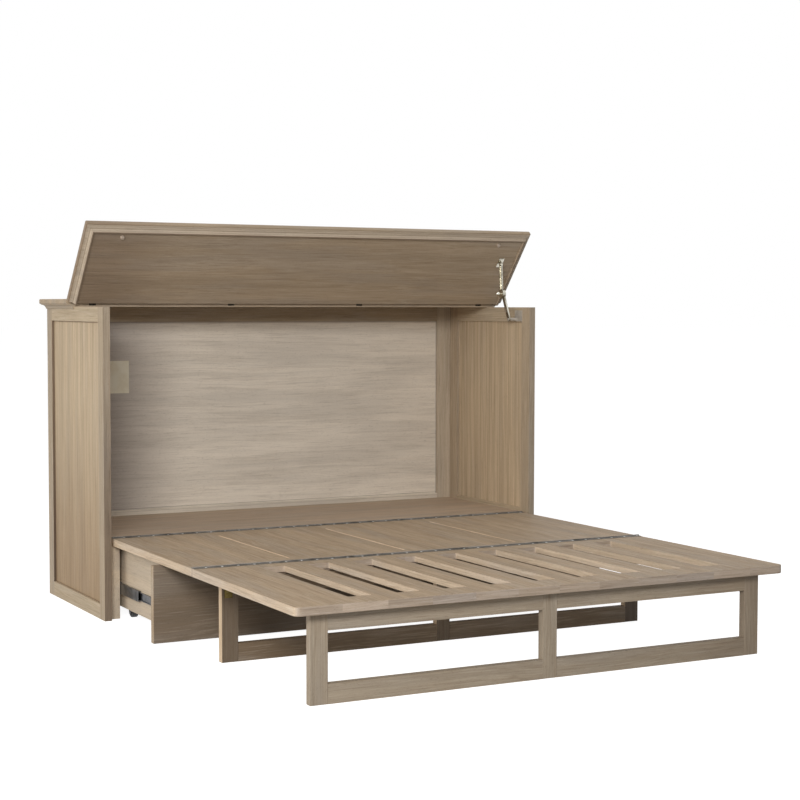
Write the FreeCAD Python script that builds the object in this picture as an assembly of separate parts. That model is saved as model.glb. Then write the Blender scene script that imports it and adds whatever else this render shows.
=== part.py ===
import FreeCAD, Part
import math
import os

# Cabinet bed, open as a bed with its lid half up.
# +X is to the right, +Y goes back into the cabinet and +Z is up, in millimetres.
# The origin is on the floor, below the centre of the open bed's bounding box.

V = FreeCAD.Vector
X_AXIS = V(1, 0, 0)

# ---------------------------------------------------------------- driving sizes

# Cabinet
cabinet_width = 1641.0
cabinet_depth = 625.0
side_height = 1021.0
side_thickness = 24.0
board_thickness = 24.0
front_stile_width = 52.0
rear_stile_width = 57.0
side_top_rail_height = 49.0
side_bottom_rail_height = 50.0
side_lip_depth = 8.0
side_panel_thickness = 8.0
front_lip = 3.0
rear_lip = 38.0
top_lip = 5.0
platform_upstand = 14.0
back_frame_thickness = 24.0
back_setback = 11.0
back_stile_width = 57.0
back_rail_height = 54.0
back_rail_upstand = 18.5
back_panel_thickness = 8.0
back_panel_recess = 8.0
platform_top = 266.5
base_side_thickness = 36.5

# Top and lid
top_thickness = 26.0
nose_height = 17.0
nose_overhang = 28.0
nose_round = 4.0
moulding_reach = 22.0
moulding_height = 17.0
moulding_foot = 4.0
moulding_fillet_height = 3.0
lid_opening_angle = 50.0
lid_hinge_depth = 303.5
lid_side_clearance = 1.0
lid_seam = 1.0
lid_hinge_length = 24.0
lid_hinge_leaf_height = 22.0
lid_hinge_leaf_thickness = 1.6
lid_hinge_barrel_radius = 3.2
lid_hinge_pin_radius = 1.6
lid_hinge_end_distance = 63.5
bumper_radius = 7.0
bumper_height = 8.0
bumper_round = 2.5
bumper_end_distance = 100.5
bumper_distance = 285.0

# Lid stay, on the right only
stay_pivot_depth = 92.0
stay_pivot_drop = 45.0
stay_lid_pivot_depth = 100.8
stay_lid_pivot_drop = 10.8
stay_elbow_share = 0.49
stay_elbow_set_back = 20.0
stay_gap_from_side = 28.2
stay_arm_width = 15.0
stay_arm_thickness = 6.0
stay_channel_wall = 2.0
stay_plate_thickness = 2.5
stay_plate_length = 48.0
stay_plate_height = 40.0
stay_lid_plate_length = 40.0
stay_lid_plate_width = 22.0
stay_pin_radius = 2.5
stay_head_radius = 5.0
stay_head_thickness = 2.0
stay_boss_radius = 6.5
stay_elbow_radius = 17.0
stay_knob_radius = 9.0
stay_knob_reach = 13.0

# Folding sections
section_side_gap = 8.5
section_pitch = 729.0
section_2_length = 724.0
section_seam = 2.0
groove_places = (-451.5, -60.5, 344.5)
groove_rear_margin = 91.0
groove_front_margin = 62.0
groove_width = 5.0
groove_depth = 2.5
slot_rear_margin = 71.0
slot_foot_margin = 89.0
slot_corner_radius = 6.0
slot_count = 9
slot_pitch = 144.0
slot_width = 69.0
middle_slot_x = 14.0
relief_rim = 9.0
relief_depth = 7.0
foot_corner_radius = 22.0
board_ease = 1.0

# Long hinges between the sections
long_hinge_end_gap = 2.0
long_hinge_knuckle_count = 62
long_hinge_axis_height = 2.5
long_hinge_barrel_radius = 2.3
long_hinge_leaf_width = 15.0
long_hinge_leaf_thickness = 1.5
long_hinge_pin_radius = 1.2
screw_head_radius = 3.4
screw_head_height = 0.4
screw_shank_radius = 1.6
screw_length = 14.0

# Leg frames
leg_inset = 60.0
leg_stile_width = 51.0
leg_centre_stile_width = 46.0
leg_thickness = 24.0
leg_bottom_rail_height = 53.0
leg_top_rail_height = 50.0
leg_top_clearance = 0.5
mid_leg_front_depth = -782.4
front_leg_front_depth = -1384.0
leg_hinge_axis_offset = 2.5
leg_hinge_barrel_radius = 2.2
leg_hinge_pin_radius = 1.1
leg_hinge_leaf_thickness = 1.6
leg_hinge_width = 24.0
leg_hinge_leaf_height = 50.0
leg_hinge_section_leaf_depth = 30.0
leg_hinge_section_leaf_width = 48.0
leg_hinge_edge_distance = 8.5

# Drawer
drawer_travel = 417.5
drawer_closed_gap = 0.5
drawer_front_thickness = 22.0
drawer_front_overlay = 15.5
drawer_front_bottom = 3.0
drawer_front_top_gap = 2.0
drawer_box_length = 540.0
drawer_side_thickness = 14.0
drawer_side_bottom = 36.0
drawer_side_top = 232.0
drawer_bottom_height = 60.0
drawer_bottom_thickness = 8.0

# Drawer slides
slide_gap = 12.5
slide_height_centre = 99.0
slide_length = 500.0
slide_front_setback = 5.0
slide_outer_height = 38.0
slide_inner_height = 26.0
slide_sheet = 1.5
slide_play = 0.3
slide_middle_ratio = 0.43
slide_cage_length = 160.0
slide_latch_length = 40.0
slide_latch_height = 12.0
slide_latch_from_front = 305.0

# Casters
wheel_radius = 25.0
wheel_width = 20.0
wheel_round = 4.0
axle_radius = 4.0
caster_inset = 23.0
caster_plate_width = 40.0
caster_plate_length = 60.0
caster_plate_thickness = 2.5
caster_cheek_thickness = 2.0
caster_cheek_length = 26.0
rear_caster_from_rear = 87.0
front_caster_from_front = 60.0

# Bare plate on the back panel
plate_width = 110.0
plate_height = 117.0
plate_thickness = 0.8
plate_from_stile = 100.0
plate_centre_z = 767.5

# Clearances
rounding = 1e-6
body_clearance = 0.3
pin_clearance = 0.05
knuckle_clearance = 0.2

# ---------------------------------------------------------------- worked out from them

half_width = cabinet_width / 2
inner_half = half_width - side_thickness
panel_rest = inner_half + side_lip_depth
section_half = inner_half - section_side_gap
hinge_1_depth = board_thickness + long_hinge_axis_height
hinge_2_depth = hinge_1_depth - section_pitch
foot_depth = hinge_2_depth - section_seam / 2 - section_2_length

# Depths are measured back from the front edges of the sides.
front = -(foot_depth + cabinet_depth) / 2
back = front + cabinet_depth
hinge_1_y = front + hinge_1_depth
hinge_2_y = front + hinge_2_depth
foot_y = front + foot_depth
section_hinge_z = platform_top + long_hinge_axis_height
long_hinge_length = 2 * (section_half - long_hinge_end_gap)
long_hinge_knuckle = long_hinge_length / long_hinge_knuckle_count
platform_bottom = platform_top - board_thickness
back_frame_front = back - back_setback - back_frame_thickness
back_panel_front = back_frame_front + back_panel_recess
base_front = hinge_1_y + section_seam / 2

top_z = side_height + top_thickness
nose_z = top_z - nose_height
lid_hinge_y = front + lid_hinge_depth
lid_hinge_z = top_z + lid_hinge_barrel_radius + body_clearance

drawer_back_face = front - drawer_closed_gap - drawer_travel
drawer_side_outer = inner_half - base_side_thickness - slide_gap

nodes = {}


# ---------------------------------------------------------------- helpers

def same(first, second):
    """Whether two lengths are equal, apart from rounding."""
    return abs(first - second) < rounding


def box(x_pair, y_pair, z_pair):
    """A plain board between two values on each axis, in either order."""
    low = V(min(x_pair), min(y_pair), min(z_pair))
    high = V(max(x_pair), max(y_pair), max(z_pair))
    size = high - low
    return Part.makeBox(size.x, size.y, size.z, low)


def eased_box(x_pair, y_pair, z_pair, ease=board_ease):
    """A board with every edge broken by a small chamfer."""
    board = box(x_pair, y_pair, z_pair)
    return board.makeChamfer(ease, board.Edges)


def rod(radius, start, end):
    """A round bar from one point to another."""
    run = end - start
    return Part.makeCylinder(radius, run.Length, start, run)


def along_x(radius, x_start, x_end, y, z):
    """A round bar parallel to X."""
    return rod(radius, V(x_start, y, z), V(x_end, y, z))


def join(*shapes):
    """One solid from shapes that share faces or overlap."""
    return shapes[0].multiFuse(list(shapes[1:])).removeSplitter()


def place(name, *shapes):
    """Keep the solids of one sub-part under its name."""
    solids = []
    for shape in shapes:
        solids.extend(shape.Solids)
    nodes[name] = solids


def opened(shape, angle):
    """Turn a piece of the closed lid up about the lid's hinge."""
    turned = shape.copy()
    turned.rotate(V(0, lid_hinge_y, lid_hinge_z), X_AXIS, -angle)
    return turned


def bar_between(x_pair, first, second, width):
    """A flat bar with round ends, in a plane across X, between two (y, z) points."""
    start = V(0, first[0], first[1])
    run = V(0, second[0], second[1]) - start
    slab = Part.makeBox(abs(x_pair[1] - x_pair[0]), run.Length, width)
    slab.translate(V(min(x_pair), 0, -width / 2))
    slab.rotate(V(0, 0, 0), X_AXIS, math.degrees(math.atan2(run.z, run.y)))
    slab.translate(start)
    ends = [along_x(width / 2, min(x_pair), max(x_pair), *point) for point in (first, second)]
    return join(slab, *ends)


# ---------------------------------------------------------------- sides, back and base

def layered_board(sign, outer_y, outer_z, inner_y, inner_z):
    """A frame board of a side: an outer layer, and an inner one that reaches in to hold the panel."""
    outer_layer = box((sign * panel_rest, sign * half_width), outer_y, outer_z)
    inner_layer = box((sign * inner_half, sign * panel_rest), inner_y, inner_z)
    return join(outer_layer, inner_layer)


def make_sides():
    full = (0, side_height)
    stile_edge = front + front_stile_width
    rear_edge = back - rear_stile_width
    rail_z = side_height - side_top_rail_height
    outer_run = (stile_edge, rear_edge)
    inner_run = (stile_edge + front_lip, rear_edge - rear_lip)
    ledge = platform_top + platform_upstand
    top_rails = []
    bottom_rails = []
    panels = []
    for side, sign in (("left", -1), ("right", 1)):
        front_stile = layered_board(sign, (front, outer_run[0]), full, (front, inner_run[0]), full)
        rear_stile = layered_board(sign, (outer_run[1], back), full, (inner_run[1], back), full)
        place(side + "_front_stile", front_stile)
        place(side + "_rear_stile", rear_stile)
        top_rails.append(layered_board(sign, outer_run, (rail_z, side_height),
                                       inner_run, (rail_z - top_lip, side_height)))
        bottom_rails.append(layered_board(sign, outer_run, (0, side_bottom_rail_height),
                                          inner_run, (0, ledge)))
        panel_x = (sign * panel_rest, sign * (panel_rest + side_panel_thickness))
        panels.append(box(panel_x, outer_run, (side_bottom_rail_height, rail_z)))
    place("side_top_rails", *top_rails)
    place("side_bottom_rails", *bottom_rails)
    place("side_panels", *panels)


def make_back():
    frame_y = (back_frame_front, back_frame_front + back_frame_thickness)
    panel_y = (back_panel_front, back_panel_front + back_panel_thickness)
    stile_edge = inner_half - back_stile_width
    rail_z = side_height - back_rail_height
    lower_z = platform_top + back_rail_upstand
    across = (-stile_edge, stile_edge)
    place("back_stiles", *[box((sign * stile_edge, sign * inner_half), frame_y, (0, side_height))
                           for sign in (-1, 1)])
    place("back_top_rail", box(across, frame_y, (rail_z, side_height)))
    place("back_bottom_rail", box(across, frame_y, (0, lower_z)))
    place("back_panel", box(across, panel_y, (lower_z, rail_z)))
    plate_x = (-stile_edge + plate_from_stile, -stile_edge + plate_from_stile + plate_width)
    plate_z = (plate_centre_z - plate_height / 2, plate_centre_z + plate_height / 2)
    place("blank_plate", box(plate_x, (back_panel_front - plate_thickness, back_panel_front), plate_z))


def make_base():
    run = (base_front, back_frame_front)
    top = box((-inner_half, inner_half), run, (platform_bottom, platform_top))
    side_x = (inner_half - base_side_thickness, inner_half)
    place("base_top", drilled(top, screw_places(hinge_1_y, 1)))
    place("base_sides", *[box([sign * x for x in side_x], run, (0, platform_bottom)) for sign in (-1, 1)])


# ---------------------------------------------------------------- top, lid and moulding

def nosed_board(body_half, y_front, y_back, front_nose):
    """A top board whose upper part stands out as a rounded nose at both ends, and at the front if asked."""
    body = box((-body_half, body_half), (y_front, y_back), (side_height, top_z))
    nose_half = half_width + nose_overhang
    nose_front = front - nose_overhang if front_nose else y_front
    nose = box((-nose_half, nose_half), (nose_front, y_back), (nose_z, top_z))
    rounded = []
    for edge in nose.Edges:
        centre = edge.CenterOfMass
        on_end = same(abs(centre.x), nose_half)
        on_front = front_nose and same(centre.y, nose_front)
        on_back = same(centre.y, y_back)
        square_front = not front_nose and same(centre.y, nose_front)
        if (on_end or on_front) and not on_back and not square_front:
            rounded.append(edge)
    return join(body, nose.makeFillet(nose_round, rounded))


def cove_strip(length, mitre_start, mitre_end):
    """A cove moulding along +X whose outer side faces -Y, with its top at z = 0."""
    foot_z = -moulding_height
    shoulder_z = -moulding_fillet_height
    drop = moulding_height - moulding_fillet_height
    run = moulding_reach - moulding_foot
    middle = V(0, -moulding_foot - run * (1 - math.cos(math.pi / 4)), foot_z + drop * math.sin(math.pi / 4))
    corners = [V(0, -moulding_reach, shoulder_z), V(0, -moulding_reach, 0), V(0, 0, 0),
               V(0, 0, foot_z), V(0, -moulding_foot, foot_z)]
    edges = [Part.makeLine(a, b) for a, b in zip(corners, corners[1:])]
    edges.append(Part.Arc(corners[-1], middle, corners[0]).toShape())
    extra = 2 * moulding_reach
    before = extra if mitre_start else 0
    after = extra if mitre_end else 0
    profile = Part.Face(Part.Wire(edges))
    profile.translate(V(-before, 0, 0))
    strip = profile.extrude(V(length + before + after, 0, 0))
    for mitred, x, way in ((mitre_start, 0, -1), (mitre_end, length, 1)):
        if mitred:
            waste = [V(x, 0, foot_z), V(x + way * extra, 0, foot_z), V(x + way * extra, -extra, foot_z),
                     V(x, 0, foot_z)]
            strip = strip.cut(Part.Face(Part.makePolygon(waste)).extrude(V(0, 0, moulding_height)))
    return strip


def end_strips(length, gap, y_start, mitred):
    """The pair of moulding strips at the two ends, running back from y_start."""
    left = cove_strip(length, False, mitred)
    left.rotate(V(0, 0, 0), V(0, 0, 1), -90)
    left.translate(V(-half_width - gap, y_start + length, nose_z))
    return [left, left.mirror(V(0, 0, 0), X_AXIS)]


def lid_hinge_places():
    outer = half_width - lid_hinge_end_distance
    return (-outer, -outer / 3, outer / 3, outer)


def lid_leaf(x_centre, side, own_thirds):
    """One leaf of a butt hinge let into the edge of the lid (side -1) or of the fixed top (side 1)."""
    third = lid_hinge_length / 3
    start = x_centre - lid_hinge_length / 2
    face = lid_hinge_y + side * lid_seam / 2
    leaf_y = (face, face + side * lid_hinge_leaf_thickness)
    solid = box((start, start + lid_hinge_length), leaf_y, (top_z - lid_hinge_leaf_height, top_z))
    for number in own_thirds:
        x_pair = (start + number * third + knuckle_clearance / 2,
                  start + (number + 1) * third - knuckle_clearance / 2)
        strap = box(x_pair, leaf_y, (top_z, lid_hinge_z))
        solid = join(solid, strap, along_x(lid_hinge_barrel_radius, *x_pair, lid_hinge_y, lid_hinge_z))
    bore = along_x(lid_hinge_pin_radius + pin_clearance, start, start + lid_hinge_length,
                   lid_hinge_y, lid_hinge_z)
    return solid.cut(bore)


def mortised(board, side):
    """Cut the pockets that the hinge leaves lie in."""
    face = lid_hinge_y + side * lid_seam / 2
    for x in lid_hinge_places():
        pocket = box((x - lid_hinge_length / 2, x + lid_hinge_length / 2),
                     (face, face + side * lid_hinge_leaf_thickness),
                     (top_z - lid_hinge_leaf_height, top_z))
        board = board.cut(pocket)
    return board


def make_top():
    y_front = lid_hinge_y + lid_seam / 2
    place("rear_top", mortised(nosed_board(half_width, y_front, back, False), 1))
    place("rear_top_moulding", *end_strips(back - y_front, 0, y_front, False))
    place("lid_hinge_top_leaves", *[lid_leaf(x, 1, (0, 2)) for x in lid_hinge_places()])


def make_lid():
    y_front = front - lid_side_clearance
    y_back = lid_hinge_y - lid_seam / 2
    body_half = half_width + lid_side_clearance
    board = mortised(nosed_board(body_half, y_front, y_back, True), -1)
    front_strip = cove_strip(2 * body_half, True, True)
    front_strip.translate(V(-body_half, y_front, nose_z))
    ends = end_strips(y_back - y_front, lid_side_clearance, y_front, True)
    bumpers = []
    for sign in (-1, 1):
        root = V(sign * (half_width - bumper_end_distance), lid_hinge_y - bumper_distance, side_height)
        bumper = rod(bumper_radius, root, root - V(0, 0, bumper_height))
        rim = [edge for edge in bumper.Edges
               if same(edge.CenterOfMass.z, root.z - bumper_height)]
        bumpers.append(bumper.makeFillet(bumper_round, rim))
    leaves = [lid_leaf(x, -1, (1,)) for x in lid_hinge_places()]
    for name, shapes in (("lid_board", [board]), ("lid_moulding", [front_strip] + ends),
                         ("lid_bumpers", bumpers), ("lid_hinge_lid_leaves", leaves)):
        place(name, *[opened(shape, lid_opening_angle) for shape in shapes])


# ---------------------------------------------------------------- lid stay

def turned_point(depth, height, angle):
    """Where a point of the closed lid is when the lid is open by an angle."""
    point = V(0, front + depth - lid_hinge_y, height - lid_hinge_z)
    turned = FreeCAD.Rotation(X_AXIS, -angle).multVec(point)
    return (turned.y + lid_hinge_y, turned.z + lid_hinge_z)


def ball_knob(root_x, centre):
    """A ball on a short stem, turned about a line parallel to X, that points to -X."""
    ball_x = root_x - stay_knob_reach
    neck_x = ball_x + math.sqrt(stay_knob_radius ** 2 - stay_pin_radius ** 2)
    y, z = centre
    tip = V(ball_x - stay_knob_radius, y, z)
    neck = V(neck_x, y, z + stay_pin_radius)
    points = [tip, V(root_x, y, z), V(root_x, y, z + stay_pin_radius), neck]
    edges = [Part.makeLine(a, b) for a, b in zip(points, points[1:])]
    edges.append(Part.Arc(neck, V(ball_x, y, z + stay_knob_radius), tip).toShape())
    return Part.Face(Part.Wire(edges)).revolve(V(0, y, z), X_AXIS, 360)


def make_stay():
    low = (front + stay_pivot_depth, side_height - stay_pivot_drop)
    high = turned_point(stay_lid_pivot_depth, side_height - stay_lid_pivot_drop, lid_opening_angle)
    run = V(0, high[0] - low[0], high[1] - low[1])
    across = V(0, run.z, -run.y).normalize()
    knee = V(0, *low) + run * stay_elbow_share + across * stay_elbow_set_back
    elbow = (knee.y, knee.z)

    lower_x = (inner_half - stay_gap_from_side - stay_arm_thickness, inner_half - stay_gap_from_side)
    upper_x = (lower_x[0] - body_clearance - stay_arm_thickness, lower_x[0] - body_clearance)
    bore_radius = stay_pin_radius + pin_clearance

    lower_arm = join(bar_between(lower_x, low, elbow, stay_arm_width),
                     along_x(stay_elbow_radius, *lower_x, *elbow))
    place("stay_lower_arm", lower_arm.cut(along_x(bore_radius, *lower_x, *low)))

    channel = bar_between(upper_x, elbow, high, stay_arm_width)
    web_x = upper_x[1] - stay_channel_wall
    hollow = bar_between((upper_x[0], web_x), elbow, high, stay_arm_width - 2 * stay_channel_wall)
    upper_arm = join(channel.cut(hollow), along_x(stay_elbow_radius, *upper_x, *elbow))
    place("stay_upper_arm", upper_arm.cut(along_x(bore_radius, web_x, upper_x[1], *high)))

    place("stay_knob", ball_knob(upper_x[0], elbow))

    plate_x = (inner_half - stay_plate_thickness, inner_half)
    plate = box(plate_x, (low[0] - stay_plate_length + stay_boss_radius, low[0] + stay_boss_radius),
                (low[1] - stay_boss_radius, low[1] - stay_boss_radius + stay_plate_height))
    boss = along_x(stay_boss_radius, plate_x[0], lower_x[1] + body_clearance, *low)
    pin = along_x(stay_pin_radius, plate_x[0], lower_x[0] - body_clearance, *low)
    head = along_x(stay_head_radius, lower_x[0] - body_clearance,
                   lower_x[0] - body_clearance - stay_head_thickness, *low)
    place("stay_side_bracket", join(plate, boss, pin, head))

    pivot_y = front + stay_lid_pivot_depth
    pivot_z = side_height - stay_lid_pivot_drop
    ear_x = (upper_x[1] + body_clearance, upper_x[1] + body_clearance + stay_plate_thickness)
    plate_centre = (upper_x[0] + ear_x[1]) / 2
    lid_plate = box((plate_centre - stay_lid_plate_width / 2, plate_centre + stay_lid_plate_width / 2),
                    (pivot_y - stay_lid_plate_length / 2, pivot_y + stay_lid_plate_length / 2),
                    (side_height - stay_plate_thickness, side_height))
    ear = join(box(ear_x, (pivot_y - stay_head_radius, pivot_y + stay_head_radius), (pivot_z, side_height)),
               along_x(stay_head_radius, *ear_x, pivot_y, pivot_z))
    lid_pin = along_x(stay_pin_radius, ear_x[1], upper_x[0] - body_clearance, pivot_y, pivot_z)
    lid_head = along_x(stay_head_radius, upper_x[0] - body_clearance,
                       upper_x[0] - body_clearance - stay_head_thickness, pivot_y, pivot_z)
    bracket = join(lid_plate, ear, lid_pin, lid_head)
    place("stay_lid_bracket", opened(bracket, lid_opening_angle))


# ---------------------------------------------------------------- long hinges

def screw_places(hinge_y, side):
    """Where the screws of one leaf of a long hinge go: one beside each of its knuckles."""
    first = long_hinge_knuckle / 2 if side > 0 else 3 * long_hinge_knuckle / 2
    y = hinge_y + side * (long_hinge_leaf_width + long_hinge_barrel_radius) / 2
    return [V(first - long_hinge_length / 2 + number * long_hinge_knuckle, y, platform_top)
            for number in range(0, long_hinge_knuckle_count, 2)]


def drilled(board, places):
    """Cut the screw holes in a board."""
    depth = V(0, 0, screw_length)
    return board.cut([rod(screw_shank_radius, point - depth, point) for point in places])


def screws(places):
    """Screws with a low head that stands on the leaf."""
    shapes = []
    for point in places:
        top = point + V(0, 0, long_hinge_leaf_thickness)
        shank = rod(screw_shank_radius, point - V(0, 0, screw_length), top)
        head = rod(screw_head_radius, top, top + V(0, 0, screw_head_height))
        shapes.append(join(shank, head))
    return shapes


def long_leaf(hinge_y, side):
    """One leaf of a long hinge, lying on a board's top, with every second knuckle."""
    half = long_hinge_length / 2
    root = long_hinge_barrel_radius + body_clearance
    bore_radius = long_hinge_pin_radius + pin_clearance
    leaf_z = (platform_top, platform_top + long_hinge_leaf_thickness)
    parts = [box((-half, half), (hinge_y + side * root, hinge_y + side * long_hinge_leaf_width), leaf_z)]
    for number in range(0 if side > 0 else 1, long_hinge_knuckle_count, 2):
        start = number * long_hinge_knuckle - half
        x_pair = (start + knuckle_clearance / 2, start + long_hinge_knuckle - knuckle_clearance / 2)
        parts.append(box(x_pair, (hinge_y + side * bore_radius, hinge_y + side * root), leaf_z))
        parts.append(along_x(long_hinge_barrel_radius, *x_pair, hinge_y, section_hinge_z))
    bores = [along_x(bore_radius, -half, half, hinge_y, section_hinge_z)]
    for point in screw_places(hinge_y, side):
        bores.append(rod(screw_shank_radius, point, point + V(0, 0, long_hinge_leaf_thickness)))
    return join(*parts).cut(bores)


def long_pin(hinge_y):
    half = long_hinge_length / 2
    return along_x(long_hinge_pin_radius, -half, half, hinge_y, section_hinge_z)


def make_long_hinges():
    place("hinge_1_base_leaf", long_leaf(hinge_1_y, 1))
    place("hinge_1_section_leaf", long_leaf(hinge_1_y, -1))
    place("hinge_1_base_screws", *screws(screw_places(hinge_1_y, 1)))
    place("hinge_2_section_1_leaf", long_leaf(hinge_2_y, 1))
    place("hinge_2_section_2_leaf", long_leaf(hinge_2_y, -1))
    place("section_1_screws", *screws(screw_places(hinge_1_y, -1) + screw_places(hinge_2_y, 1)))
    place("section_2_screws", *screws(screw_places(hinge_2_y, -1)))


# ---------------------------------------------------------------- folding sections

def groove(x, y_pair):
    """A V groove along Y, as a wedge to cut out of the platform's top."""
    start = y_pair[0]
    corners = [V(x - groove_width / 2, start, platform_top), V(x + groove_width / 2, start, platform_top),
               V(x, start, platform_top - groove_depth)]
    face = Part.Face(Part.makePolygon(corners + corners[:1]))
    return face.extrude(V(0, y_pair[1] - y_pair[0], 0))


def make_section_1():
    rear = hinge_1_y - section_seam / 2
    near = hinge_2_y + section_seam / 2
    panel = eased_box((-section_half, section_half), (near, rear), (platform_bottom, platform_top))
    grooves_run = (near + groove_front_margin, rear - groove_rear_margin)
    panel = panel.cut([groove(x, grooves_run) for x in groove_places])
    place("section_1_panel", drilled(panel, screw_places(hinge_1_y, -1) + screw_places(hinge_2_y, 1)))


def make_section_2():
    thickness = (platform_bottom, platform_top)
    rear = hinge_2_y - section_seam / 2
    slot_run = (foot_y + slot_foot_margin, rear - slot_rear_margin)
    panel = box((-section_half, section_half), (foot_y, rear), thickness)
    corners = [edge for edge in panel.Edges
               if same(edge.Length, board_thickness) and same(edge.CenterOfMass.y, foot_y)]
    panel = panel.makeFillet(foot_corner_radius, corners)
    panel = panel.makeChamfer(board_ease, panel.Edges)
    slots = []
    slots_half = (slot_count - 1) / 2 * slot_pitch + slot_width / 2 + relief_rim
    relief = box((middle_slot_x - slots_half, middle_slot_x + slots_half),
                 (slot_run[0] - relief_rim, slot_run[1] + relief_rim),
                 (platform_bottom, platform_bottom + relief_depth))
    for number in range(slot_count):
        centre = middle_slot_x + (number - (slot_count - 1) / 2) * slot_pitch
        slot = box((centre - slot_width / 2, centre + slot_width / 2), slot_run, thickness)
        upright = [edge for edge in slot.Edges if same(edge.Length, board_thickness)]
        slots.append(slot.makeFillet(slot_corner_radius, upright))
    place("section_2_panel", drilled(panel.cut(slots + [relief]), screw_places(hinge_2_y, -1)))


# ---------------------------------------------------------------- leg frames

def leg_hinge_centres():
    half = section_half - leg_inset - leg_hinge_edge_distance - leg_hinge_width / 2
    return (-half, half)


def leg_pin_line(face_y, side):
    """The hinge line of a leg frame, in front of (side -1) or behind (side 1) the face it is on."""
    return face_y + side * leg_hinge_axis_offset, platform_bottom - leg_hinge_axis_offset


def leg_frame_leaf(x_centre, face_y, side):
    """The hinge leaf on a leg frame's face, with the two outer knuckles."""
    pin_y, pin_z = leg_pin_line(face_y, side)
    third = leg_hinge_width / 3
    start = x_centre - leg_hinge_width / 2
    leaf_y = (face_y, face_y + side * leg_hinge_leaf_thickness)
    leaf_top = pin_z - leg_hinge_barrel_radius - body_clearance
    parts = [box((start, start + leg_hinge_width), leaf_y, (leaf_top - leg_hinge_leaf_height, leaf_top))]
    for number in (0, 2):
        x_pair = (start + number * third, start + (number + 1) * third)
        if number == 0:
            x_pair = (x_pair[0], x_pair[1] - knuckle_clearance / 2)
        else:
            x_pair = (x_pair[0] + knuckle_clearance / 2, x_pair[1])
        parts.append(box(x_pair, leaf_y, (leaf_top, pin_z)))
        parts.append(along_x(leg_hinge_barrel_radius, *x_pair, pin_y, pin_z))
    bore = along_x(leg_hinge_pin_radius + pin_clearance, start, start + leg_hinge_width, pin_y, pin_z)
    return join(*parts).cut(bore)


def leg_section_leaf(x_centre, face_y, side):
    """The hinge leaf under the section, with the middle knuckle."""
    pin_y, pin_z = leg_pin_line(face_y, side)
    third = leg_hinge_width / 3
    inward = -1 if x_centre > 0 else 1
    outer = x_centre - inward * leg_hinge_width / 2
    root = leg_hinge_barrel_radius + body_clearance
    leaf_z = (platform_bottom - leg_hinge_leaf_thickness, platform_bottom)
    x_pair = (x_centre - third / 2 + knuckle_clearance / 2, x_centre + third / 2 - knuckle_clearance / 2)
    parts = [box((outer, outer + inward * leg_hinge_section_leaf_width),
                 (pin_y + side * root, pin_y + side * leg_hinge_section_leaf_depth), leaf_z),
             box(x_pair, (pin_y, pin_y + side * root), leaf_z),
             along_x(leg_hinge_barrel_radius, *x_pair, pin_y, pin_z)]
    bore = along_x(leg_hinge_pin_radius + pin_clearance, *x_pair, pin_y, pin_z)
    return join(*parts).cut(bore)


def make_leg_frames():
    top = platform_bottom - leg_top_clearance
    outer = section_half - leg_inset
    inner = outer - leg_stile_width
    centre = leg_centre_stile_width / 2
    section_leaves = []
    pins = []
    frames = (("mid", front + mid_leg_front_depth, -1), ("front", front + front_leg_front_depth, 1))
    for name, front_face, side in frames:
        y_pair = (front_face, front_face + leg_thickness)
        hinge_face = y_pair[0] if side < 0 else y_pair[1]
        stile_x = ((-outer, -inner), (-centre, centre), (inner, outer))
        place(name + "_leg_stiles", *[eased_box(pair, y_pair, (0, top)) for pair in stile_x])
        rails = []
        for pair in ((-inner, -centre), (centre, inner)):
            rails.append(box(pair, y_pair, (0, leg_bottom_rail_height)))
            rails.append(box(pair, y_pair, (top - leg_top_rail_height, top)))
        place(name + "_leg_rails", *rails)
        leaves = []
        for x in leg_hinge_centres():
            leaves.append(leg_frame_leaf(x, hinge_face, side))
            section_leaves.append(leg_section_leaf(x, hinge_face, side))
            pins.append(along_x(leg_hinge_pin_radius, x - leg_hinge_width / 2, x + leg_hinge_width / 2,
                                *leg_pin_line(hinge_face, side)))
        place(name + "_leg_hinge_leaves", *leaves)
    place("leg_hinge_section_leaves", *section_leaves)
    place("section_2_hinge_pins", long_pin(hinge_2_y), *pins)


def make_cabinet_pins():
    half = lid_hinge_length / 2
    lid_pins = [along_x(lid_hinge_pin_radius, x - half, x + half, lid_hinge_y, lid_hinge_z)
                for x in lid_hinge_places()]
    place("cabinet_hinge_pins", long_pin(hinge_1_y), *lid_pins)


# ---------------------------------------------------------------- drawer

def make_drawer():
    front_half = inner_half + drawer_front_overlay
    front_y = (drawer_back_face - drawer_front_thickness, drawer_back_face)
    front_top = platform_bottom - drawer_front_top_gap
    place("drawer_front", eased_box((-front_half, front_half), front_y, (drawer_front_bottom, front_top)))
    rear = drawer_back_face + drawer_box_length
    run = (drawer_back_face, rear)
    side_inner = drawer_side_outer - drawer_side_thickness
    place("drawer_sides", *[box((sign * side_inner, sign * drawer_side_outer), run,
                                (drawer_side_bottom, drawer_side_top)) for sign in (-1, 1)])
    floor_top = drawer_bottom_height + drawer_bottom_thickness
    across = (-side_inner, side_inner)
    place("drawer_bottom", box(across, run, (drawer_bottom_height, floor_top)))
    place("drawer_back", box(across, (rear - drawer_side_thickness, rear), (floor_top, drawer_side_top)))


def channel(sign, web_pair, lip_end, half_height, y_pair):
    """A slide member: a web with a lip along its top and bottom."""
    z = slide_height_centre
    parts = [box([sign * x for x in web_pair], y_pair, (z - half_height, z + half_height))]
    for way in (-1, 1):
        lip_z = (z + way * (half_height - slide_sheet), z + way * half_height)
        parts.append(box((sign * web_pair[0], sign * lip_end), y_pair, lip_z))
    return join(*parts)


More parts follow.
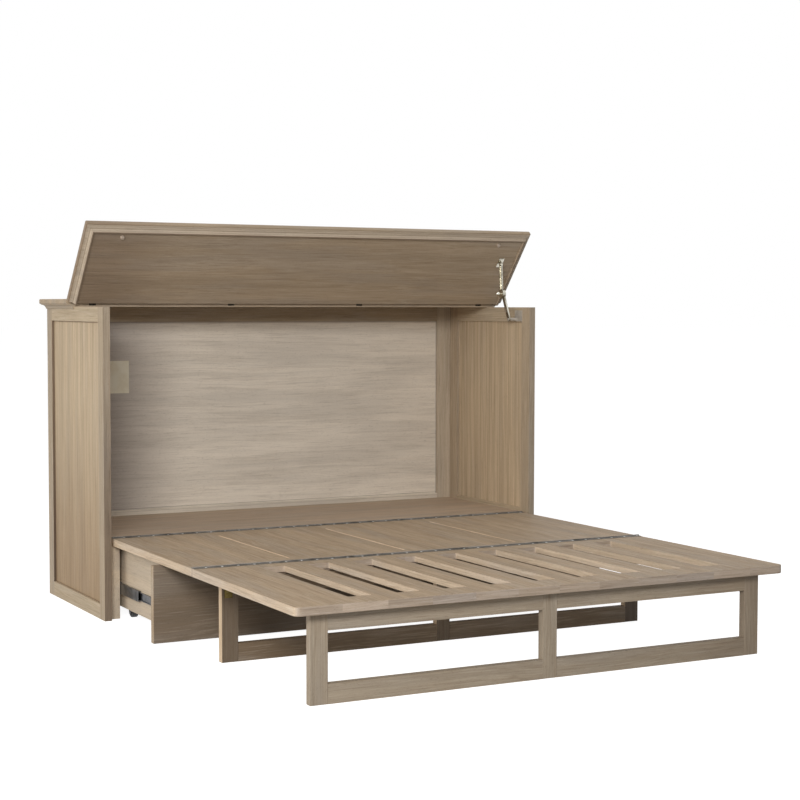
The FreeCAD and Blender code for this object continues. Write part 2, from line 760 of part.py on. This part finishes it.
def make_slides():
    wall = inner_half - base_side_thickness
    shut = base_front + slide_front_setback
    outer_y = (shut, shut + slide_length)
    middle_y = [y - slide_middle_ratio * drawer_travel for y in outer_y]
    inner_y = (drawer_back_face + slide_front_setback, drawer_back_face + slide_front_setback + slide_length)
    outer_half = slide_outer_height / 2
    middle_half = outer_half - slide_sheet - slide_play
    inner_half_height = slide_inner_height / 2
    drawer_face = drawer_side_outer
    middle_web = wall - slide_sheet - slide_play
    outers = []
    middles = []
    inners = []
    latches = []
    for sign in (-1, 1):
        outers.append(channel(sign, (wall - slide_sheet, wall), drawer_face + 2 * slide_sheet,
                              outer_half, outer_y))
        middles.append(channel(sign, (middle_web - slide_sheet, middle_web), drawer_face + 2 * slide_sheet,
                               middle_half, middle_y))
        inners.append(channel(sign, (drawer_face + slide_sheet, drawer_face), drawer_face + 4 * slide_sheet,
                              inner_half_height, inner_y))
        cage_x = (sign * (drawer_face + 2 * slide_sheet), sign * (middle_web - slide_sheet))
        cage_y = (middle_y[0] + slide_sheet, middle_y[0] + slide_sheet + slide_cage_length)
        for way in (-1, 1):
            cage_z = (slide_height_centre + way * (inner_half_height + slide_play),
                      slide_height_centre + way * (middle_half - slide_sheet))
            middles.append(box(cage_x, cage_y, cage_z))
        latch_start = drawer_back_face + slide_latch_from_front
        latch_z = (slide_height_centre - slide_latch_height / 2, slide_height_centre + slide_latch_height / 2)
        latch_x = (sign * (drawer_face + slide_sheet), sign * (drawer_face + 3 * slide_sheet))
        latches.append(box(latch_x, (latch_start, latch_start + slide_latch_length), latch_z))
    place("slide_outer_members", *outers)
    place("slide_middle_members", *middles)
    place("slide_inner_members", *inners)
    place("slide_latches", *latches)


def wheel(x, y):
    """A rounded wheel with a dished face on each side of its hub."""
    half = wheel_width / 2
    body = along_x(wheel_radius, x - half, x + half, y, wheel_radius)
    rims = [edge for edge in body.Edges if edge.Length > 1.5 * math.pi * wheel_radius]
    body = body.makeFillet(wheel_round, rims)
    dish_depth = caster_cheek_thickness
    for side in (-1, 1):
        face = x + side * half
        dish = along_x(wheel_radius - 2 * wheel_round, face - side * dish_depth, face, y, wheel_radius)
        hub = along_x(2 * axle_radius, face - side * dish_depth, face, y, wheel_radius)
        body = body.cut(dish.cut(hub))
    return body.cut(along_x(axle_radius + pin_clearance, x - half, x + half, y, wheel_radius))


def caster(x, y):
    """A rigid caster's plate with two cheeks, bored for the axle, and the axle."""
    half = wheel_width / 2
    plate_bottom = drawer_bottom_height - caster_plate_thickness
    plate = box((x - caster_plate_width / 2, x + caster_plate_width / 2),
                (y - caster_plate_length / 2, y + caster_plate_length / 2),
                (plate_bottom, drawer_bottom_height))
    parts = [plate]
    for side in (-1, 1):
        start = x + side * (half + body_clearance)
        cheek_x = (start, start + side * caster_cheek_thickness)
        parts.append(box(cheek_x, (y - caster_cheek_length / 2, y + caster_cheek_length / 2),
                         (wheel_radius, plate_bottom)))
        parts.append(along_x(caster_cheek_length / 2, min(cheek_x), max(cheek_x), y, wheel_radius))
    end = half + body_clearance + caster_cheek_thickness
    axle = along_x(axle_radius, x - end, x + end, y, wheel_radius)
    return [join(*parts).cut(axle), axle]


def make_casters():
    x = drawer_side_outer - drawer_side_thickness - caster_inset
    frames = []
    rows = (("rear_wheels", drawer_box_length - rear_caster_from_rear),
            ("front_wheels", front_caster_from_front))
    for name, distance in rows:
        y = drawer_back_face + distance
        place(name, wheel(-x, y), wheel(x, y))
        frames.extend(caster(-x, y) + caster(x, y))
    place("caster_frames", *frames)


# ---------------------------------------------------------------- build

make_sides()
make_back()
make_base()
make_top()
make_lid()
make_stay()
make_long_hinges()
make_section_1()
make_section_2()
make_leg_frames()
make_cabinet_pins()
make_drawer()
make_slides()
make_casters()

os.makedirs("parts", exist_ok=True)
for node_name, solids in nodes.items():
    shape = solids[0] if len(solids) == 1 else Part.makeCompound(solids)
    shape.exportStep("parts/" + node_name + ".step")
print(len(nodes), "nodes,", sum(len(solids) for solids in nodes.values()), "solids")
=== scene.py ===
import bpy
from mathutils import Matrix, Vector

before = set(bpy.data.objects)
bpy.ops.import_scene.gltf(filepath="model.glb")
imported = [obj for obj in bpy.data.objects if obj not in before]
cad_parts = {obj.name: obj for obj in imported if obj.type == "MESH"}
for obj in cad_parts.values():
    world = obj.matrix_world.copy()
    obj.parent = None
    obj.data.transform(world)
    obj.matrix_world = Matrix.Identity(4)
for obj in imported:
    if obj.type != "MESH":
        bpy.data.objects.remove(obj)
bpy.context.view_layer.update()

# Sizes in metres, in the part's frame: +X right, +Y into the cabinet, +Z up.
CAMERA_PLACE = (-2.563163, -4.949573, 1.027411)
CAMERA_RIGHT = (0.88437649, -0.46677078, 0.00180957)
CAMERA_UP = (0.02403066, 0.0494011, 0.99848989)
CAMERA_FOCAL_MM = 77.48
SENSOR_MM = 36.0
FLOOR_HALF = 60.0
FLOOR_LIFT = 0.93
SECTION_SEAM = -0.30125

PANEL_REAR = 0.96925
PANEL_TOP = 0.972
PANEL_FOOT = 0.050
# Back panel's dark lines at its ends, top and foot: partly glazing, partly painted shade.
# The broad line at its top is a painted shadow edge under the rear top.
BACK_GLAZE_AND_SHADE = (("X", 0.7395, 0.006), ("Z", 0.967, 0.010), ("Z", 0.289, 0.0016))

# The lid stands 50 degrees open at rest. Its own upward direction, and how far along it the joints lie.
LID_UP = (0.0, 0.766044, 0.642788)
LID_HINGE_HEIGHT = 1.215119
TOP_HINGE_Z = 1.0505
COVE_LINES = ((1.030, 0.0015), (1.0245, 0.0009), (1.0185, 0.0009), (1.013, 0.0035))

GRAIN_ALONG = {
    "X": (1.0, 30.0, 30.0),
    "Y": (30.0, 1.0, 30.0),
    "Z": (30.0, 30.0, 1.0),
}


# Where the planks lie: the axis across them, their width and where the first one starts.
TOP_PLANKS = ("Y", 0.118, 0.0)
SECTION_PLANKS = ("X", 0.1317, -0.788)

# Colours that the oak's grain, finish and painted shade share.
DARK_BAND = "8B765D"
GREY_MOTTLE = "A39B92"
PALE_STREAK = "DDD0BC"
DARK_STREAK = "6E5B46"
PINSTRIPE = "8A7358"
OPEN_PORE = "5A4835"
PLANK_SHADE = "7F6C56"
# Brown of the dark lines in corners, joints and recesses: partly glazing, partly painted shade.
GLAZE_AND_SHADE = "5C432D"

# Each light: name, place, what it points at, size, power in watts and colour.
LIGHTS = (
    ("key", (-3.2, -4.6, 2.3), (0.0, 0.2, 0.5), (2.4, 1.1), 190.0, (1.0, 0.99, 0.98)),
    ("side", (-5.4, 0.3, 1.5), (0.0, 0.3, 0.5), (3.0, 2.0), 95.0, (1.0, 0.97, 0.92)),
    ("top", (0.2, -0.6, 4.4), (0.0, 0.0, 0.3), (4.0, 4.0), 55.0, (1.0, 0.98, 0.95)),
)
AMBIENT_COLOUR = (0.95, 0.97, 1.0, 1.0)
AMBIENT_STRENGTH = 0.15
FLOOR_COLOUR = (0.50, 0.50, 0.50, 1.0)
WHITE = (1.0, 1.0, 1.0, 1.0)


# --- node graph helpers -----------------------------------------------------------------------


def linear(hex_code):
    values = [int(hex_code[i : i + 2], 16) / 255 for i in (0, 2, 4)]
    return [v / 12.92 if v <= 0.04045 else ((v + 0.055) / 1.055) ** 2.4 for v in values] + [1.0]


class Graph:
    """A material's node tree, with short calls to add and join nodes."""

    def __init__(self, name):
        self.material = bpy.data.materials.new(name)
        self.material.use_nodes = True
        self.nodes = self.material.node_tree.nodes
        self.links = self.material.node_tree.links
        self.shader = self.nodes["Principled BSDF"]

    def add(self, kind, inputs=None, **settings):
        node = self.nodes.new(kind)
        for key, value in settings.items():
            setattr(node, key, value)
        for key, value in (inputs or {}).items():
            self.feed(node.inputs[key], value)
        return node

    def feed(self, socket, value):
        if isinstance(value, bpy.types.NodeSocket):
            self.links.new(value, socket)
        else:
            socket.default_value = value

    def set(self, **values):
        for key, value in values.items():
            self.feed(self.shader.inputs[key.replace("_", " ")], value)

    def place(self):
        return self.add("ShaderNodeTexCoord").outputs["Object"]

    def facing(self):
        return self.add("ShaderNodeTexCoord").outputs["Normal"]

    def dot(self, source, direction):
        node = self.add("ShaderNodeVectorMath", {0: source, 1: direction}, operation="DOT_PRODUCT")
        return node.outputs["Value"]

    def stretched(self, source, scale, offset=(0, 0, 0)):
        node = self.add("ShaderNodeMapping", {"Vector": source, "Scale": scale, "Location": offset})
        return node.outputs["Vector"]

    def noise(self, source, scale, detail=3.0, rough=0.5, distortion=0.0):
        node = self.add(
            "ShaderNodeTexNoise",
            {
                "Vector": source,
                "Scale": scale,
                "Detail": detail,
                "Roughness": rough,
                "Distortion": distortion,
            },
        )
        return node.outputs["Fac"]

    def remap(self, value, low, high, to_low=0.0, to_high=1.0):
        node = self.add(
            "ShaderNodeMapRange",
            {"Value": value, "From Min": low, "From Max": high, "To Min": to_low, "To Max": to_high},
            interpolation_type="SMOOTHSTEP",
        )
        return node.outputs["Result"]

    def math(self, operation, a, b=0.0):
        node = self.add("ShaderNodeMath", {0: a, 1: b}, operation=operation)
        return node.outputs["Value"]

    def vector(self, operation, a, b):
        return self.add("ShaderNodeVectorMath", {0: a, 1: b}, operation=operation).outputs["Vector"]

    def mix(self, factor, a, b, blend="MIX"):
        node = self.add("ShaderNodeMix", data_type="RGBA", blend_type=blend)
        self.feed(node.inputs["Factor"], factor)
        self.feed(node.inputs["A"], a)
        self.feed(node.inputs["B"], b)
        return node.outputs["Result"]

    def blend(self, factor, a, b):
        node = self.add("ShaderNodeMix", data_type="VECTOR")
        self.feed(node.inputs["Factor"], factor)
        self.feed(node.inputs["A"], a)
        self.feed(node.inputs["B"], b)
        return node.outputs["Result"]

    def swapped(self, source):
        parts = {
            "X": self.axis(source, "Y"),
            "Y": self.axis(source, "X"),
            "Z": self.axis(source, "Z"),
        }
        return self.add("ShaderNodeCombineXYZ", parts).outputs["Vector"]

    def axis(self, source, letter):
        return self.add("ShaderNodeSeparateXYZ", {"Vector": source}).outputs[letter]

    def bump(self, height, depth, normal=None):
        node = self.add("ShaderNodeBump", {"Height": height, "Distance": depth, "Strength": 1.0})
        if normal is not None:
            self.feed(node.inputs["Normal"], normal)
        return node.outputs["Normal"]


# --- materials --------------------------------------------------------------------------------


def shade(colour, factor):
    return [min(1.0, v * factor) for v in colour[:3]] + [1.0]


def oak(
    name,
    grain,
    base,
    contrast=1.0,
    figure=1.0,
    boards=None,
    glaze_and_shade=(),
    shift=0.0,
    tints=(),
    board_step=0.14,
    pinstripe=0.0,
    lipped=False,
):
    """Weathered oak: broad figure, fine streaks, open pores, steps between planks, and dark lines in
    corners and joints that are partly glazing and partly painted shade.

    Each of glaze_and_shade is an axis or a direction, where along it the dark line lies and how far it
    spreads.
    Each of tints is a colour factor, the way that its faces look (or None) and the spans over which
    it comes in. The tints stand in for shade and light that the soft lamps don't give.
    A lipped board shows grain that runs along X on its foot edge.
    """
    g = Graph(name)
    spot = g.place()
    along = GRAIN_ALONG[grain]
    base = linear(base)
    place = spot
    if boards:
        letter, pitch, start = boards
        across = g.math("SUBTRACT", g.axis(spot, letter), start)
        step = g.math("FLOOR", g.math("DIVIDE", across, pitch))
        board = g.add("ShaderNodeTexWhiteNoise", {"W": step}, noise_dimensions="1D").outputs["Value"]
        hop_along = g.math("MULTIPLY", board, 3.1)
        hop = g.add("ShaderNodeCombineXYZ", {"X": hop_along, "Y": board, "Z": board})
        place = g.vector("ADD", place, hop.outputs["Vector"])
    if lipped:
        at_foot = g.remap(g.axis(g.facing(), "Y"), -0.5, -0.9)
        place = g.blend(at_foot, place, g.swapped(place))
    loose = g.stretched(place, [1.0 + 0.04 * v for v in along], (shift, shift, shift))
    sway = g.math("SUBTRACT", g.noise(loose, 1.6, 2.0), 0.5)
    sway = g.math("MULTIPLY", sway, 0.035 * figure)
    bend = g.add("ShaderNodeCombineXYZ", {"X": sway, "Y": sway, "Z": sway})
    place = g.vector("ADD", place, bend.outputs["Vector"])
    place = g.stretched(place, (1.0, 1.0, 1.0), (shift, 2 * shift, 3 * shift))
    broad = g.noise(g.stretched(place, along), 0.9, 3.0, 0.55)
    bands = g.noise(g.stretched(place, along), 3.1, 4.0, 0.62)
    fine = g.noise(g.stretched(place, [v if v > 1 else 0.8 for v in along]), 9.0, 4.0, 0.62)
    pores = g.noise(g.stretched(place, [v * 1.4 if v > 1 else 5.0 for v in along]), 24.0, 2.0, 0.5)
    mottle = g.noise(g.stretched(place, [0.35 * v if v > 1 else 1.6 for v in along]), 1.3, 3.0, 0.5)
    lighter, darker = shade(base, 1.0 + 0.07 * contrast), shade(base, 1.0 - 0.10 * contrast)
    colour = g.mix(g.remap(broad, 0.32, 0.68), lighter, darker)
    for source, low, high, most, streak in (
        (bands, 0.46, 0.64, 0.20 * contrast, DARK_BAND),
        (mottle, 0.45, 0.66, 0.24 * figure, GREY_MOTTLE),
        (fine, 0.52, 0.70, 0.20 * contrast, PALE_STREAK),
        (fine, 0.48, 0.32, 0.30 * contrast, DARK_STREAK),
    ):
        colour = g.mix(g.remap(source, low, high, 0.0, most), colour, linear(streak))
    if pinstripe:
        stripes = g.noise(g.stretched(place, [v if v > 1 else 0.25 for v in along]), 5.6, 1.0, 0.4)
        colour = g.mix(g.remap(stripes, 0.42, 0.60, 0.0, pinstripe), colour, linear(PINSTRIPE))
    pore_mask = g.remap(pores, 0.38, 0.29, 0.0, 0.42)
    colour = g.mix(pore_mask, colour, linear(OPEN_PORE))
    if boards:
        colour = g.mix(g.remap(board, 0.0, 1.0, 0.0, board_step), colour, linear(PLANK_SHADE))
    # Dark lines at the given places: partly glazing, partly painted shade in corners and recesses.
    for way, line, reach in glaze_and_shade:
        along_way = g.dot(spot, way) if isinstance(way, tuple) else g.axis(spot, way)
        if way == "X":
            along_way = g.math("ABSOLUTE", along_way)
        far = g.math("ABSOLUTE", g.math("SUBTRACT", along_way, line))
        ragged = g.math("MULTIPLY", g.math("SUBTRACT", bands, 0.5), 0.6 * reach)
        uneven = g.math("ADD", far, ragged)
        colour = g.mix(g.remap(uneven, reach, 0.0, 0.0, 0.62), colour, linear(GLAZE_AND_SHADE))
    for tint, looking, spans in tints:
        reach = 1.0
        if looking:
            letter, way = looking
            reach = g.remap(g.math("MULTIPLY", g.axis(g.facing(), letter), way), 0.5, 0.9)
        for letter, start, end in spans:
            reach = g.math("MULTIPLY", g.remap(g.axis(spot, letter), start, end), reach)
        colour = g.mix(reach, colour, [*tint, 1.0], "MULTIPLY")
    g.set(Base_Color=colour)
    g.set(Roughness=g.remap(fine, 0.3, 0.7, 0.70, 0.54))
    g.shader.inputs["Specular IOR Level"].default_value = 0.35
    g.set(Normal=g.bump(g.math("SUBTRACT", fine, pore_mask), 0.0004))
    return g.material


def metal(name, colour, dull, rough_low, rough_high, grain=(1.0, 1.0, 1.0), metallic=1.0):
    """Plated or rolled steel: faint rolling lines, blotches of duller plate and small scuffs."""
    g = Graph(name)
    place = g.place()
    lines = g.noise(g.stretched(place, grain), 60.0, 4.0, 0.6)
    blotch = g.noise(place, 24.0, 4.0, 0.6)
    scuff = g.noise(g.stretched(place, (2.0, 7.0, 3.0)), 210.0, 2.0, 0.7, 0.6)
    colour_out = g.mix(g.remap(blotch, 0.4, 0.7), linear(colour), linear(dull))
    colour_out = g.mix(g.remap(scuff, 0.62, 0.74, 0.0, 0.3), colour_out, linear("E4E2DD"))
    g.set(Base_Color=colour_out)
    g.shader.inputs["Metallic"].default_value = metallic
    rolled = g.remap(lines, 0.3, 0.7, rough_low, rough_high)
    g.set(Roughness=g.math("ADD", rolled, g.remap(scuff, 0.6, 0.75, 0.0, 0.08)))
    g.set(Normal=g.bump(lines, 0.00006, g.bump(scuff, 0.00005)))
    return g.material


def moulded(name, colour, worn, rough, grain_scale=420.0, depth=0.00008):
    """Moulded plastic or rubber: a fine skin texture, slight dusting and duller rubbed places."""
    g = Graph(name)
    place = g.place()
    skin = g.noise(place, grain_scale, 3.0, 0.55)
    dust = g.noise(place, 18.0, 4.0, 0.6)
    g.set(Base_Color=g.mix(g.remap(dust, 0.45, 0.75, 0.0, 0.5), linear(colour), linear(worn)))
    g.set(Roughness=g.remap(dust, 0.3, 0.7, rough - 0.06, rough + 0.08))
    g.set(Normal=g.bump(skin, depth))
    return g.material


def make_materials():
    made = {}
    # Dark lines in the side panels' recess corners: partly glazing, partly painted shade.
    panel_glaze_and_shade = (("Y", PANEL_REAR, 0.007), ("Z", PANEL_TOP, 0.007), ("Z", PANEL_FOOT, 0.006))
    lid_low = LID_HINGE_HEIGHT - TOP_HINGE_Z
    # The mouldings' dark lines along their coves: partly glazing, partly painted shade.
    lid_joints = tuple((LID_UP, lid_low + z, reach) for z, reach in COVE_LINES)
    top_joints = tuple(("Z", z, 0.7 * reach) for z, reach in COVE_LINES)
    made["side_panel"] = oak(
        "oak_side_panel",
        "Z",
        "CBB698",
        contrast=0.75,
        figure=0.5,
        glaze_and_shade=panel_glaze_and_shade,
        shift=1.7,
        # Painted shade: the left side's outer face is darker towards the bottom.
        tints=(((0.70, 0.63, 0.56), ("X", -1), (("Z", 0.75, 0.05), ("X", 0.1, -0.1))),),
        pinstripe=0.30,
    )
    made["stile"] = oak(
        "oak_stile",
        "Z",
        "B3A189",
        # Dark line at the edge by the panel recess: partly glazing, partly painted shade.
        glaze_and_shade=(("Y", PANEL_REAR, 0.0012),),
        shift=3.1,
        # Painted shade: front faces darker, and darker still low on the left stiles.
        tints=(
            ((0.84, 0.85, 0.88), ("Y", -1), ()),
            ((0.58, 0.54, 0.52), ("Y", -1), (("Z", 0.95, 0.15), ("X", 0.1, -0.1))),
        ),
    )
    made["rail"] = oak("oak_rail", "Y", "BCAA8F", figure=0.6, shift=5.3)
    made["back"] = oak(
        "oak_back",
        "X",
        "E4DACB",
        contrast=0.65,
        figure=0.9,
        glaze_and_shade=BACK_GLAZE_AND_SHADE,
        shift=7.9,
        # Painted shadow: the back panel darker towards its left end, where the left side shades it.
        tints=(((0.50, 0.50, 0.55), None, (("X", -0.25, -0.76),)),),
    )
    # Its dark line along the top edge is partly glazing, partly painted shade.
    made["back_low"] = oak(
        "oak_back_low", "X", "DDD3C3", contrast=0.6, glaze_and_shade=(("Z", 0.2795, 0.0008),), shift=8.3
    )
    made["back_frame"] = oak("oak_back_frame", "X", "A8977F", shift=2.4)
    made["back_stile"] = oak("oak_back_stile", "Z", "BDAE99", shift=2.9)
    made["top"] = oak("oak_top", "X", "BBA78D", boards=TOP_PLANKS, shift=4.2)
    made["lid"] = oak(
        "oak_lid",
        "X",
        "AE9B83",
        boards=TOP_PLANKS,
        shift=4.2,
        # Painted shade: the lid darker towards its left end.
        tints=(((0.70, 0.67, 0.66), None, (("X", -0.45, -0.80),)),),
        board_step=0.08,
    )
    made["lid_moulding"] = oak(
        "oak_lid_moulding", "X", "C0B09B", contrast=0.8, glaze_and_shade=lid_joints, shift=6.6
    )
    made["top_moulding"] = oak(
        "oak_top_moulding", "Y", "BBAA92", contrast=0.8, glaze_and_shade=top_joints, shift=6.9
    )
    made["platform"] = oak("oak_platform", "X", "BAA58F", shift=8.8)
    # Painted light on the sections' left and front edges; in the slots, painted light on the walls
    # facing left and painted shadow on the walls facing right.
    edge_painted_light = (((1.50, 1.58, 1.70), ("X", -1), ()), ((1.10, 1.17, 1.34), ("Y", -1), ()))
    groove_painted_light_and_shade = (
        ((2.1, 2.0, 1.9), ("X", -1), (("X", -0.7, -0.65), ("Z", 0.26, 0.2605))),
        ((0.12, 0.10, 0.08), ("X", 1), (("X", 0.7, 0.65),)),
    )
    section_look = {
        "contrast": 1.25,
        # Dark line along the seam: partly glazing, partly painted shade.
        "glaze_and_shade": (("Y", SECTION_SEAM, 0.003),),
        "boards": SECTION_PLANKS,
        "board_step": 0.07,
    }
    made["section_1"] = oak(
        "oak_section_1", "Y", "B09A80", shift=9.4, tints=edge_painted_light + groove_painted_light_and_shade, **section_look
    )
    made["section_2"] = oak(
        "oak_section_2", "Y", "B09A80", shift=9.9, tints=edge_painted_light, lipped=True, **section_look
    )
    # Painted shade and light: the middle posts' front faces darkened as the shadow under the bed,
    # more so to the right, and their left faces lit brighter.
    made["mid_post"] = oak(
        "oak_mid_post",
        "Z",
        "A9977F",
        shift=10.2,
        tints=(
            ((0.44, 0.42, 0.41), ("Y", -1), ()),
            ((1.7, 1.65, 1.6), ("X", -1), ()),
            ((0.55, 0.52, 0.50), ("Y", -1), (("X", 0.3, 0.7),)),
        ),
    )
    # Painted shade: a darker base than the front legs' rails, for the shadow under the bed.
    made["mid_rail"] = oak("oak_mid_rail", "X", "7C6A55", shift=10.9)
    # Painted shade: the front legs darker towards their right end.
    leg_painted_shade = (((0.80, 0.76, 0.72), None, (("X", 0.35, 0.76),)),)
    made["leg_post"] = oak("oak_leg_post", "Z", "A99A86", shift=11.2, tints=leg_painted_shade)
    made["leg_rail"] = oak("oak_leg_rail", "X", "A99A86", shift=12.5, tints=leg_painted_shade)
    # Painted shade and light: a dark base for the shade under the bed, and the left-facing edge lit
    # brighter.
    made["drawer_front"] = oak(
        "oak_drawer_front",
        "X",
        "7F6F5D",
        contrast=0.75,
        shift=13.6,
        tints=(((1.9, 1.9, 1.85), ("X", -1), ()),),
    )
    # Painted light: a paler base that lifts the shade cast on these sides by the bed above.
    made["drawer_box"] = oak("oak_drawer_box", "Y", "D0BFA8", contrast=0.7, shift=14.1)
    made["drawer_base"] = oak("oak_drawer_base", "X", "B09E87", contrast=0.8, shift=15.7)
    made["plate"] = card("card_plate")
    made["bumper"] = clear_rubber("bumper_rubber")
    made["nickel"] = metal("satin_nickel", "CFCBBE", "8E897B", 0.22, 0.36, (30.0, 1.0, 1.0))
    made["hinge"] = metal("dark_nickel", "85817B", "57544F", 0.40, 0.55, (30.0, 1.0, 1.0))
    made["bronze"] = metal("dark_bronze", "38322B", "26221D", 0.5, 0.62)
    made["screw"] = metal("bright_screw", "F6F6F3", "E2E2DE", 0.40, 0.55, metallic=0.15)
    made["bracket"] = metal("pressed_bracket", "C4BEB4", "A9A299", 0.40, 0.52, metallic=0.35)
    made["brass"] = metal("dull_brass", "6F6138", "4A4024", 0.40, 0.56)
    made["zinc"] = metal("dull_zinc", "77787A", "56585B", 0.32, 0.46, (30.0, 1.0, 1.0))
    made["latch"] = moulded("latch_plastic", "17181A", "2A2B2E", 0.42)
    made["wheel"] = moulded("wheel_rubber", "1A1B1D", "34322F", 0.55, 260.0, 0.00012)
    return made


def card(name):
    """Bare cream card: a laid paper grain, faint fibres and a slightly uneven tone."""
    g = Graph(name)
    place = g.place()
    fibre = g.noise(g.stretched(place, (1.0, 1.0, 5.0)), 520.0, 3.0, 0.6)
    tone = g.noise(place, 21.0, 4.0, 0.55)
    colour = g.mix(g.remap(tone, 0.35, 0.7), linear("F0EAD6"), linear("E6DDC4"))
    g.set(Base_Color=g.mix(g.remap(fibre, 0.55, 0.75, 0.0, 0.25), colour, linear("C8BCA2")))
    g.set(Roughness=g.remap(fibre, 0.3, 0.7, 0.62, 0.74))
    g.set(Normal=g.bump(fibre, 0.00005))
    return g.material


def clear_rubber(name):
    """Soft clear bumper: part see-through, with a dusty film."""
    g = Graph(name)
    place = g.place()
    film = g.noise(place, 340.0, 3.0, 0.6)
    g.set(Base_Color=g.mix(g.remap(film, 0.4, 0.7), linear("D8C8B6"), linear("C2AE9A")))
    g.set(Roughness=g.remap(film, 0.3, 0.7, 0.22, 0.36))
    g.shader.inputs["Transmission Weight"].default_value = 0.25
    g.shader.inputs["IOR"].default_value = 1.46
    g.set(Normal=g.bump(film, 0.00006))
    return g.material


NODE_MATERIALS = {
    "side_panel": ("side_panels",),
    "stile": ("left_front_stile", "left_rear_stile", "right_front_stile", "right_rear_stile"),
    "rail": ("side_top_rails", "side_bottom_rails"),
    "back": ("back_panel",),
    "back_frame": ("back_top_rail",),
    "back_low": ("back_bottom_rail",),
    "back_stile": ("back_stiles",),
    "top": ("rear_top",),
    "lid": ("lid_board",),
    "top_moulding": ("rear_top_moulding",),
    "lid_moulding": ("lid_moulding",),
    "platform": ("base_top",),
    "drawer_box": ("base_sides", "drawer_sides"),
    "section_1": ("section_1_panel",),
    "section_2": ("section_2_panel",),
    "mid_post": ("mid_leg_stiles",),
    "mid_rail": ("mid_leg_rails",),
    "leg_post": ("front_leg_stiles",),
    "leg_rail": ("front_leg_rails",),
    "drawer_front": ("drawer_front",),
    "drawer_base": ("drawer_bottom", "drawer_back"),
    "plate": ("blank_plate",),
    "bumper": ("lid_bumpers",),
    "nickel": ("stay_lid_bracket", "stay_lower_arm", "stay_upper_arm", "stay_knob"),
    "bracket": ("stay_side_bracket",),
    "bronze": ("lid_hinge_top_leaves", "lid_hinge_lid_leaves"),
    "hinge": (
        "cabinet_hinge_pins",
        "section_2_hinge_pins",
        "hinge_1_base_leaf",
        "hinge_1_section_leaf",
        "hinge_2_section_1_leaf",
        "hinge_2_section_2_leaf",
    ),
    "screw": ("hinge_1_base_screws", "section_1_screws", "section_2_screws"),
    "brass": ("leg_hinge_section_leaves", "mid_leg_hinge_leaves", "front_leg_hinge_leaves"),
    "zinc": ("slide_outer_members", "slide_middle_members", "slide_inner_members"),
    "latch": ("slide_latches", "caster_frames"),
    "wheel": ("rear_wheels", "front_wheels"),
}


def dress_nodes():
    made = make_materials()
    for key, names in NODE_MATERIALS.items():
        for name in names:
            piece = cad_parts[name]
            for place in piece.material_slots:
                place.material = made[key]


# --- stage, light and camera ------------------------------------------------------------------


def seen_directly(nodes, links):
    """1 on rays from the camera, off gloss and through glass, and 0 on rays that light the object."""
    path = nodes.new("ShaderNodeLightPath")
    seen = path.outputs["Is Camera Ray"]
    for kind in ("Is Glossy Ray", "Is Transmission Ray"):
        either = nodes.new("ShaderNodeMath")
        either.operation = "MAXIMUM"
        links.new(seen, either.inputs[0])
        links.new(path.outputs[kind], either.inputs[1])
        seen = either.outputs["Value"]
    return seen


def make_floor():
    mesh = bpy.data.meshes.new("floor")
    corners = [(x * FLOOR_HALF, y * FLOOR_HALF, 0) for x, y in ((-1, -1), (1, -1), (1, 1), (-1, 1))]
    mesh.from_pydata(corners, [], [(0, 1, 2, 3)])
    floor = bpy.data.objects.new("floor", mesh)
    bpy.context.scene.collection.objects.link(floor)
    g = Graph("pale_floor")
    g.shader.inputs["Roughness"].default_value = 0.9
    g.shader.inputs["Specular IOR Level"].default_value = 0.0
    g.shader.inputs["Emission Color"].default_value = WHITE
    g.shader.inputs["Base Color"].default_value = FLOOR_COLOUR
    g.set(Emission_Strength=g.math("MULTIPLY", seen_directly(g.nodes, g.links), FLOOR_LIFT))
    mesh.materials.append(g.material)


def area_light(name, place, target, size, power, colour):
    data = bpy.data.lights.new(name, "AREA")
    data.shape = "RECTANGLE"
    data.size, data.size_y = size
    data.energy = power
    data.color = colour
    lamp = bpy.data.objects.new(name, data)
    lamp.location = place
    lamp.rotation_euler = (Vector(target) - Vector(place)).to_track_quat("-Z", "Y").to_euler()
    bpy.context.scene.collection.objects.link(lamp)


def make_light():
    for lamp in LIGHTS:
        area_light(*lamp)
    world = bpy.data.worlds.new("studio")
    world.use_nodes = True
    nodes, links = world.node_tree.nodes, world.node_tree.links
    ambient = nodes["Background"]
    ambient.inputs["Color"].default_value = AMBIENT_COLOUR
    ambient.inputs["Strength"].default_value = AMBIENT_STRENGTH
    white = nodes.new("ShaderNodeBackground")
    white.inputs["Color"].default_value = WHITE
    white.inputs["Strength"].default_value = 1.0
    pick = nodes.new("ShaderNodeMixShader")
    links.new(seen_directly(nodes, links), pick.inputs[0])
    links.new(ambient.outputs[0], pick.inputs[1])
    links.new(white.outputs[0], pick.inputs[2])
    links.new(pick.outputs[0], nodes["World Output"].inputs["Surface"])
    bpy.context.scene.world = world


def make_camera():
    right, up = Vector(CAMERA_RIGHT), Vector(CAMERA_UP)
    back = right.cross(up)
    turn = Matrix((right, up, back)).transposed().to_4x4()
    data = bpy.data.cameras.new("camera")
    data.lens = CAMERA_FOCAL_MM
    data.sensor_width = SENSOR_MM
    data.sensor_fit = "HORIZONTAL"
    data.clip_start = 0.05
    data.clip_end = 200.0
    camera = bpy.data.objects.new("camera", data)
    camera.matrix_world = Matrix.Translation(CAMERA_PLACE) @ turn
    bpy.context.scene.collection.objects.link(camera)
    bpy.context.scene.camera = camera


dress_nodes()
make_floor()
make_light()
make_camera()
bpy.context.scene.view_settings.view_transform = "Standard"
